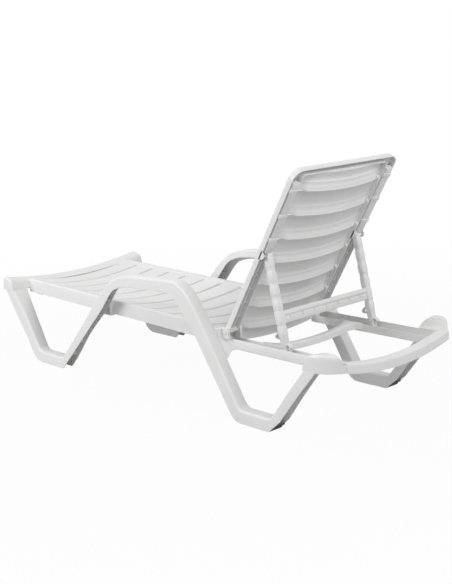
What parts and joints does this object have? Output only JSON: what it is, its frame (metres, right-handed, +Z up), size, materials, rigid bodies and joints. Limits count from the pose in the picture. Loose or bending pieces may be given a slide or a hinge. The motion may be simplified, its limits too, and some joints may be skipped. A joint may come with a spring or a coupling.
{
  "type": "reclining sun lounger",
  "caption": "Moulded resin sun lounger with slatted dished seat, armrests, and a backrest held up by a swinging prop in the rear rails.",
  "frame": {"origin": "on the ground under the centre of the lounger's outline", "axes": "+Z up, +Y towards the head end, +X towards the left hand of a person lying on it"},
  "size_m": [0.682, 1.857, 0.8512],
  "materials": {
    "white_resin": "semi-gloss moulded polypropylene with fine grain",
    "black_rubber": "matt rubber"
  },
  "bodies": {
    "base": {"armrest_left": "white_resin", "armrest_right": "white_resin", "foot_corner_left": "white_resin", "foot_corner_right": "white_resin", "foot_panel": "white_resin", "front_leg_left": "white_resin", "front_leg_right": "white_resin", "front_tie_left": "white_resin", "front_tie_right": "white_resin", "head_bar": "white_resin", "head_horn_left": "white_resin", "head_horn_right": "white_resin", "hinge_lug_inner_left": "white_resin", "hinge_lug_inner_right": "white_resin", "hinge_lug_outer_left": "white_resin", "hinge_lug_outer_right": "white_resin", "hinge_pin_left": "white_resin", "hinge_pin_right": "white_resin", "mid_brace": "white_resin", "prop_seats_left": "white_resin", "prop_seats_right": "white_resin", "rear_foot_pad_left": "black_rubber", "rear_foot_pad_right": "black_rubber", "rear_leg_left": "white_resin", "rear_leg_right": "white_resin", "rear_rail_left": "white_resin", "rear_rail_right": "white_resin", "rear_tie_left": "white_resin", "rear_tie_right": "white_resin", "seat_apron": "white_resin", "seat_rail_left": "white_resin", "seat_rail_right": "white_resin", "seat_slat_01": "white_resin", "seat_slat_02": "white_resin", "seat_slat_03": "white_resin", "seat_slat_04": "white_resin", "seat_slat_05": "white_resin", "seat_slat_06": "white_resin", "seat_slat_07": "white_resin", "seat_slat_08": "white_resin", "seat_slat_09": "white_resin", "seat_slat_10": "white_resin", "seat_slat_11": "white_resin"},
    "backrest": {"back_stile_left": "white_resin", "back_stile_right": "white_resin", "stile_rib_left": "white_resin", "stile_rib_right": "white_resin", "back_top": "white_resin", "back_slat_1": "white_resin", "back_slat_2": "white_resin", "back_slat_3": "white_resin", "back_slat_4": "white_resin", "back_slat_5": "white_resin", "back_slat_6": "white_resin", "back_slat_7": "white_resin", "prop_pin_left": "white_resin", "prop_pin_right": "white_resin"},
    "prop": {"prop_strut_left": "white_resin", "prop_strut_right": "white_resin", "prop_crossbar": "white_resin"}
  },
  "joints": [
    {"name": "backrest_recline", "type": "hinge", "parent": "base", "child": "backrest", "pos_m": [0, 0.366, 0.284], "axis": [1, 0, 0], "range_deg": [-15, 0]},
    {"name": "prop_swing", "type": "hinge", "parent": "backrest", "child": "prop", "pos_m": [0, 0.55394, 0.561], "axis": [1, 0, 0], "range_deg": [0, 42]}
  ],
  "couplings": [
    {"joint": "prop_swing", "follows": "backrest_recline", "ratio": -2.6629}
  ]
}
